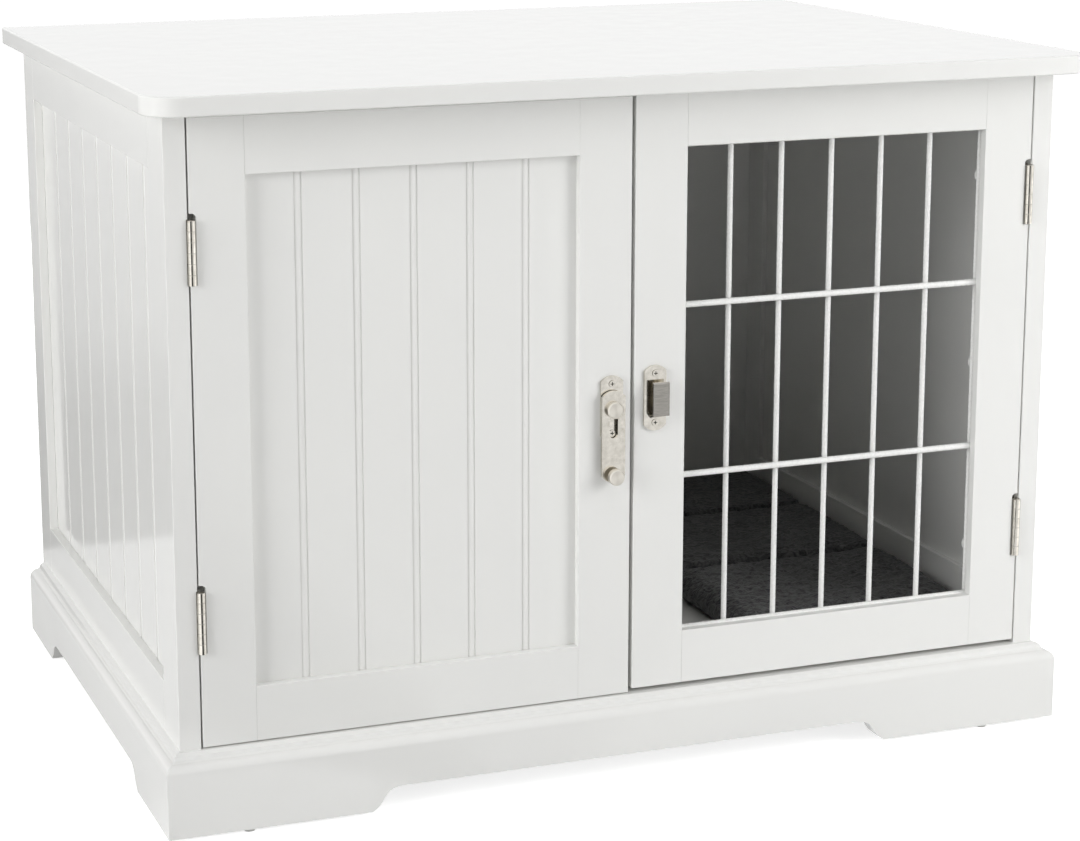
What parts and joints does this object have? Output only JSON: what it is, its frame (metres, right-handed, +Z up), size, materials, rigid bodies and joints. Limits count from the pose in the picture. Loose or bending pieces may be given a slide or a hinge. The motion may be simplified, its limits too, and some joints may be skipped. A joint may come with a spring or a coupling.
{
  "type": "indoor kennel",
  "caption": "Indoor kennel like a small sideboard: a boarded door, a wire grille door, a swing-bar latch, a moulded plinth with feet and a quilted mat.",
  "frame": {"origin": "on the floor, under the middle of the tabletop's outline", "axes": "+X to the right along the front, +Y from the front to the back, +Z up"},
  "size_m": [0.73, 0.535, 0.533],
  "materials": {
    "painted_board": "white paint, satin",
    "raw_wood": "bare softwood",
    "coated_wire": "white coating, semi-gloss",
    "nickel": "satin nickel",
    "zinc_steel": "zinc plated",
    "mat_fabric": "dark grey plush",
    "glide_plastic": "light grey plastic"
  },
  "bodies": {
    "cabinet": {"tabletop": "painted_board", "left_side_front_stile": "painted_board", "left_side_back_stile": "painted_board", "left_side_top_rail": "painted_board", "left_side_bottom_rail": "painted_board", "left_side_bead_panel": "painted_board", "right_side_front_stile": "painted_board", "right_side_back_stile": "painted_board", "right_side_top_rail": "painted_board", "right_side_bottom_rail": "painted_board", "right_side_bead_panel": "painted_board", "back_panel": "painted_board", "floor_board": "painted_board", "front_skirt": "painted_board", "left_skirt": "painted_board", "right_skirt": "painted_board", "floor_cleats": "raw_wood", "top_cleats": "painted_board", "door_stop": "painted_board", "cabinet_screws": "zinc_steel", "glides": "glide_plastic", "mat": "mat_fabric", "left_upper_cabinet_leaf": "nickel", "left_upper_hinge_pin": "nickel", "left_lower_cabinet_leaf": "nickel", "left_lower_hinge_pin": "nickel", "right_upper_cabinet_leaf": "nickel", "right_upper_hinge_pin": "nickel", "right_lower_cabinet_leaf": "nickel", "right_lower_hinge_pin": "nickel", "cabinet_hinge_screws": "nickel"},
    "left_door": {"left_door_hinge_stile": "painted_board", "left_door_meeting_stile": "painted_board", "left_door_top_rail": "painted_board", "left_door_bottom_rail": "painted_board", "left_door_bead_panel": "painted_board", "left_upper_door_leaf": "nickel", "left_lower_door_leaf": "nickel", "left_door_hinge_screws": "nickel", "latch_plate": "nickel", "latch_plate_screws": "nickel", "latch_stud": "nickel"},
    "right_door": {"right_door_hinge_stile": "painted_board", "right_door_meeting_stile": "painted_board", "right_door_top_rail": "painted_board", "right_door_bottom_rail": "painted_board", "grille": "coated_wire", "grille_clips": "coated_wire", "grille_clip_screws": "zinc_steel", "right_upper_door_leaf": "nickel", "right_lower_door_leaf": "nickel", "right_door_hinge_screws": "nickel", "keeper": "nickel", "keeper_screws": "nickel"},
    "latch_bar": {"latch_bar": "nickel", "latch_knob": "nickel"}
  },
  "joints": [
    {"name": "left_door_swing", "type": "hinge", "parent": "cabinet", "child": "left_door", "pos_m": [-0.3294, -0.2345, 0.28895], "axis": [0, 0, -1], "range_deg": [0, 165]},
    {"name": "right_door_swing", "type": "hinge", "parent": "cabinet", "child": "right_door", "pos_m": [0.3294, -0.2345, 0.29145], "axis": [0, 0, 1], "range_deg": [0, 165]},
    {"name": "latch_swing", "type": "hinge", "parent": "left_door", "child": "latch_bar", "pos_m": [-0.017, -0.2378, 0.28515], "axis": [0, 1, 0], "range_deg": [-30, 264.3]}
  ]
}
